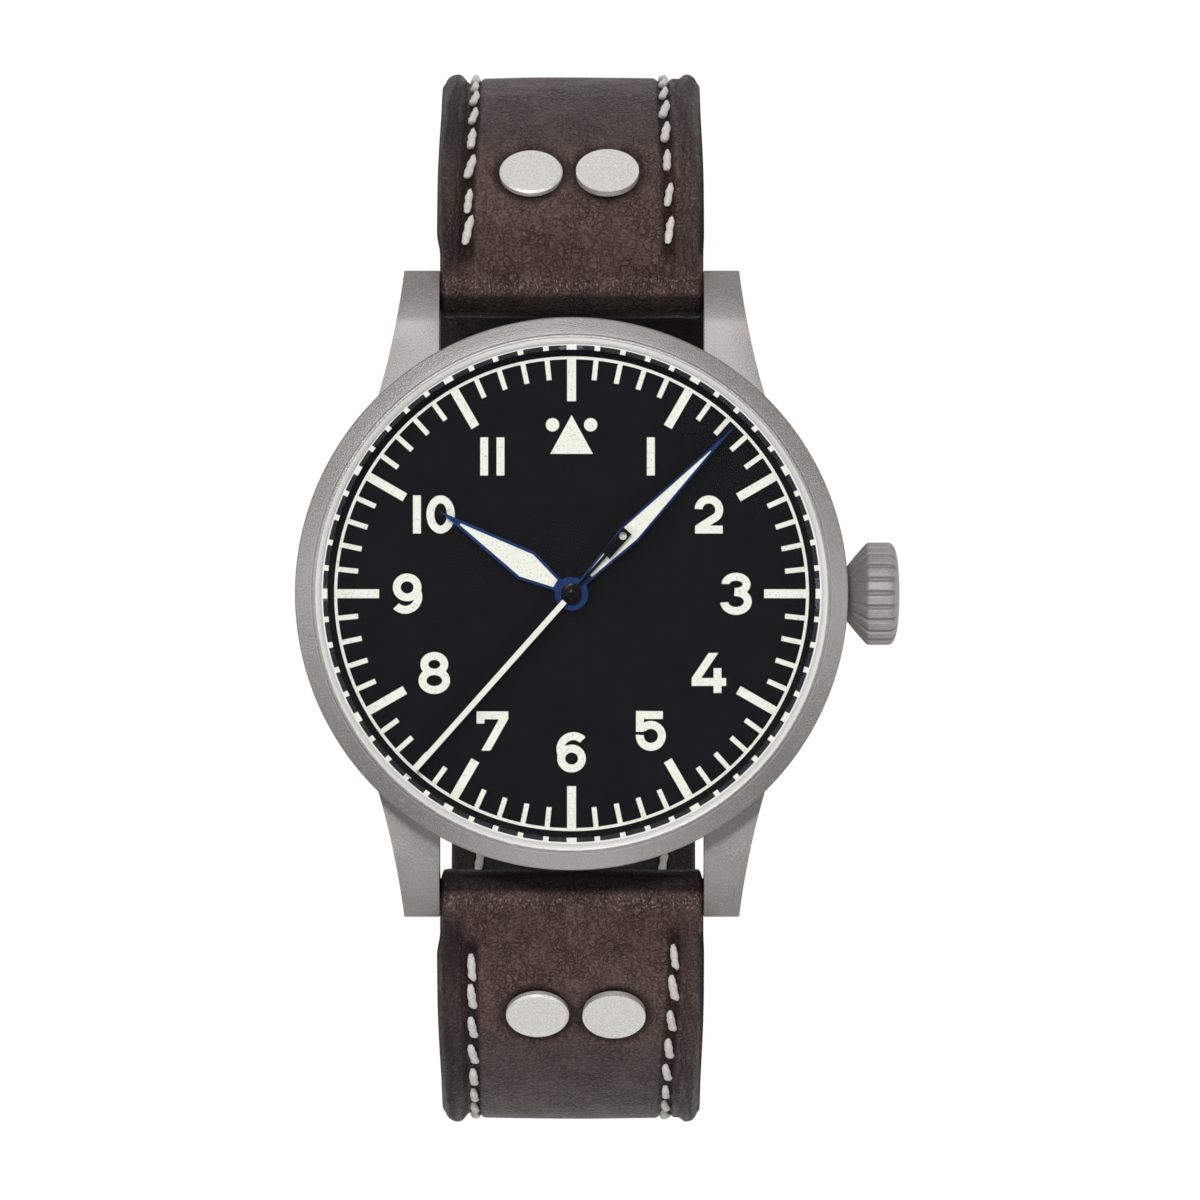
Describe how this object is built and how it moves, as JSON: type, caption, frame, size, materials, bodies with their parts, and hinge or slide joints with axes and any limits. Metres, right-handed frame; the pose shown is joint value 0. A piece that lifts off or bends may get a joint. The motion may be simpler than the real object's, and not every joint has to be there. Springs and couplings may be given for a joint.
{
  "type": "pilot watch",
  "caption": "Pilot wristwatch with a round matte steel case, black dial with plain figures, three hands, fluted crown and a riveted, stitched brown leather strap.",
  "frame": {"origin": "centre of the flat outer face of the case back", "axes": "+Z out of the dial, +Y to twelve o'clock, +X to three o'clock, where the crown is"},
  "size_m": [0.0461, 0.0808, 0.0565],
  "materials": {
    "mid_case": "bead blasted, matte warm grey",
    "bezel": "bead blasted, matte warm grey",
    "crystal": "polished, bevelled edge",
    "crystal_gasket": "smooth",
    "case_back": "bead blasted, matte warm grey",
    "case_back_gasket": "matte",
    "crown_tube": "fine ground",
    "movement_ring": "matte",
    "case_clamps": "fine ground",
    "spring_bars": "ground",
    "dial": "fine matte black",
    "dial_markers": "matte luminous",
    "main_plate": "fine ground",
    "barrel_bridge": "fine ground",
    "train_bridge": "fine ground",
    "balance_cock": "fine ground",
    "pallet_cock": "fine ground",
    "movement_screws": "ground",
    "jewels": "polished",
    "click_spring": "ground",
    "setting_jumper": "ground",
    "hairspring": "ground",
    "centre_wheel": "fine ground",
    "cannon_pinion": "ground",
    "minute_hand": "heat blued steel",
    "minute_hand_lume": "matte luminous",
    "hour_wheel": "fine ground",
    "hour_hand": "heat blued steel",
    "hour_hand_lume": "matte luminous",
    "minute_wheel": "fine ground",
    "third_wheel": "fine ground",
    "fourth_wheel": "fine ground",
    "seconds_hand": "matte, black tail",
    "escape_wheel": "fine ground",
    "barrel_drum": "fine ground",
    "mainspring": "ground",
    "balance_wheel": "fine ground",
    "pallet_fork": "fine ground",
    "winding_pinion": "ground",
    "crown": "bead blasted, matte warm grey",
    "winding_stem": "ground",
    "crown_gasket": "matte",
    "sliding_pinion": "ground",
    "crown_wheel": "fine ground",
    "ratchet_wheel": "fine ground",
    "barrel_arbor": "ground",
    "click": "ground",
    "setting_lever": "ground",
    "yoke": "ground",
    "upper_strap": "dark brown, fine grain",
    "upper_lining": "near black",
    "upper_rivets": "satin",
    "fixed_keeper": "dark brown, fine grain",
    "buckle_pin": "ground",
    "floating_keeper": "dark brown, fine grain",
    "buckle": "bead blasted, matte warm grey",
    "buckle_tongue": "bead blasted, matte warm grey",
    "lower_strap": "dark brown, fine grain",
    "lower_lining": "near black",
    "lower_rivets": "satin"
  },
  "bodies": {
    "case": {"mid_case": "mid_case", "bezel": "bezel", "crystal": "crystal", "crystal_gasket": "crystal_gasket", "case_back": "case_back", "case_back_gasket": "case_back_gasket", "crown_tube": "crown_tube", "movement_ring": "movement_ring", "case_clamps": "case_clamps", "spring_bars": "spring_bars", "dial": "dial", "dial_markers": "dial_markers", "main_plate": "main_plate", "barrel_bridge": "barrel_bridge", "train_bridge": "train_bridge", "balance_cock": "balance_cock", "pallet_cock": "pallet_cock", "movement_screws": "movement_screws", "jewels": "jewels", "click_spring": "click_spring", "setting_jumper": "setting_jumper", "hairspring": "hairspring"},
    "minute": {"centre_wheel": "centre_wheel", "cannon_pinion": "cannon_pinion", "minute_hand": "minute_hand", "minute_hand_lume": "minute_hand_lume"},
    "hour": {"hour_wheel": "hour_wheel", "hour_hand": "hour_hand", "hour_hand_lume": "hour_hand_lume"},
    "motion_wheel": {"minute_wheel": "minute_wheel"},
    "third": {"third_wheel": "third_wheel"},
    "seconds": {"fourth_wheel": "fourth_wheel", "seconds_hand": "seconds_hand"},
    "escape": {"escape_wheel": "escape_wheel"},
    "barrel": {"barrel_drum": "barrel_drum", "mainspring": "mainspring"},
    "balance": {"balance_wheel": "balance_wheel"},
    "pallet": {"pallet_fork": "pallet_fork"},
    "winding": {"winding_pinion": "winding_pinion"},
    "crown": {"crown": "crown", "winding_stem": "winding_stem", "crown_gasket": "crown_gasket"},
    "clutch": {"sliding_pinion": "sliding_pinion"},
    "crown_gear": {"crown_wheel": "crown_wheel"},
    "ratchet": {"ratchet_wheel": "ratchet_wheel", "barrel_arbor": "barrel_arbor"},
    "click": {"click": "click"},
    "setting": {"setting_lever": "setting_lever"},
    "yoke": {"yoke": "yoke"},
    "upper_half": {"upper_strap": "upper_strap", "upper_lining": "upper_lining", "upper_rivets": "upper_rivets", "fixed_keeper": "fixed_keeper", "buckle_pin": "buckle_pin"},
    "free_keeper": {"floating_keeper": "floating_keeper"},
    "buckle": {"buckle": "buckle"},
    "tongue": {"buckle_tongue": "buckle_tongue"},
    "lower_half": {"lower_strap": "lower_strap", "lower_lining": "lower_lining", "lower_rivets": "lower_rivets"}
  },
  "joints": [
    {"name": "minute_turn", "type": "hinge", "parent": "case", "child": "minute", "pos_m": [0, 0, 0.005], "axis": [0, 0, -1], "continuous": true},
    {"name": "hour_turn", "type": "hinge", "parent": "case", "child": "hour", "pos_m": [0, 0, 0.007], "axis": [0, 0, -1], "continuous": true},
    {"name": "motion_wheel_turn", "type": "hinge", "parent": "case", "child": "motion_wheel", "pos_m": [0.00269, -0.00109, 0.0066], "axis": [0, 0, -1], "continuous": true},
    {"name": "third_turn", "type": "hinge", "parent": "case", "child": "third", "pos_m": [0.00131, -0.00483, 0.0041], "axis": [0, 0, -1], "continuous": true},
    {"name": "seconds_turn", "type": "hinge", "parent": "case", "child": "seconds", "pos_m": [0, 0, 0.0037], "axis": [0, 0, -1], "continuous": true},
    {"name": "escape_turn", "type": "hinge", "parent": "case", "child": "escape", "pos_m": [-0.00373, -0.00261, 0.0049], "axis": [0, 0, -1], "continuous": true},
    {"name": "barrel_turn", "type": "hinge", "parent": "case", "child": "barrel", "pos_m": [0.00129, 0.00627, 0.0054], "axis": [0, 0, -1], "continuous": true},
    {"name": "balance_swing", "type": "hinge", "parent": "case", "child": "balance", "pos_m": [-0.0071, 0.0026, 0.0041], "axis": [0, 0, 1], "range_deg": [-270, 270], "stiffness_Nm_per_rad": 0.0000006},
    {"name": "pallet_rock", "type": "hinge", "parent": "case", "child": "pallet", "pos_m": [-0.00514, -0.00043, 0.0049], "axis": [0, 0, 1], "range_deg": [-5, 5]},
    {"name": "crown_turn", "type": "hinge", "parent": "case", "child": "winding", "pos_m": [0.0102, 0, 0.0042], "axis": [1, 0, 0], "continuous": true},
    {"name": "crown_pull", "type": "slide", "parent": "winding", "child": "crown", "axis": [1, 0, 0], "range_m": [0, 0.001]},
    {"name": "clutch_shift", "type": "slide", "parent": "winding", "child": "clutch", "axis": [1, 0, 0], "range_m": [-0.0007, 0]},
    {"name": "crown_wheel_turn", "type": "hinge", "parent": "case", "child": "crown_gear", "pos_m": [0.0068, 0, 0.0026], "axis": [0, 0, 1], "continuous": true},
    {"name": "ratchet_turn", "type": "hinge", "parent": "case", "child": "ratchet", "pos_m": [0.00129, 0.00627, 0.0026], "axis": [0, 0, 1], "continuous": true},
    {"name": "click_lift", "type": "hinge", "parent": "case", "child": "click", "pos_m": [-0.00486, 0.00851, 0.0026], "axis": [0, 0, 1], "range_deg": [0, 8], "stiffness_Nm_per_rad": 0.000002},
    {"name": "setting_lever_turn", "type": "hinge", "parent": "case", "child": "setting", "pos_m": [0.0104, -0.0029, 0.0066], "axis": [0, 0, 1], "range_deg": [-21.37, 0]},
    {"name": "yoke_turn", "type": "hinge", "parent": "case", "child": "yoke", "pos_m": [0.0094, 0.0031, 0.0066], "axis": [0, 0, 1], "range_deg": [-13.61, 0]},
    {"name": "upper_strap_hinge", "type": "hinge", "parent": "case", "child": "upper_half", "pos_m": [0, 0.023, 0.0024], "axis": [1, 0, 0], "range_deg": [-8, 75]},
    {"name": "floating_keeper_slide", "type": "slide", "parent": "upper_half", "child": "free_keeper", "axis": [0, 1, 0], "range_m": [-0.0006, 0.0022]},
    {"name": "buckle_hinge", "type": "hinge", "parent": "upper_half", "child": "buckle", "pos_m": [0, 0.01156, -0.03234], "axis": [1, 0, 0], "range_deg": [-20, 20]},
    {"name": "tongue_hinge", "type": "hinge", "parent": "buckle", "child": "tongue", "pos_m": [0, 0.01156, -0.03234], "axis": [1, 0, 0], "range_deg": [0, 70]},
    {"name": "lower_strap_hinge", "type": "hinge", "parent": "case", "child": "lower_half", "pos_m": [0, -0.023, 0.0024], "axis": [-1, 0, 0], "range_deg": [-5, 75]}
  ],
  "couplings": [
    {"joint": "hour_turn", "follows": "minute_turn", "ratio": 0.083333},
    {"joint": "motion_wheel_turn", "follows": "minute_turn", "ratio": -0.33333},
    {"joint": "third_turn", "follows": "minute_turn", "ratio": -8},
    {"joint": "seconds_turn", "follows": "minute_turn", "ratio": 60},
    {"joint": "escape_turn", "follows": "minute_turn", "ratio": -720},
    {"joint": "barrel_turn", "follows": "minute_turn", "ratio": -0.14286},
    {"joint": "pallet_rock", "follows": "balance_swing", "ratio": -0.018519},
    {"joint": "crown_wheel_turn", "follows": "crown_turn", "ratio": 0.45454},
    {"joint": "ratchet_turn", "follows": "crown_turn", "ratio": -0.3125},
    {"joint": "clutch_shift", "follows": "crown_pull", "ratio": -0.7},
    {"joint": "setting_lever_turn", "follows": "crown_pull", "rad_per_m": -369.46},
    {"joint": "yoke_turn", "follows": "crown_pull", "rad_per_m": -234.1}
  ]
}
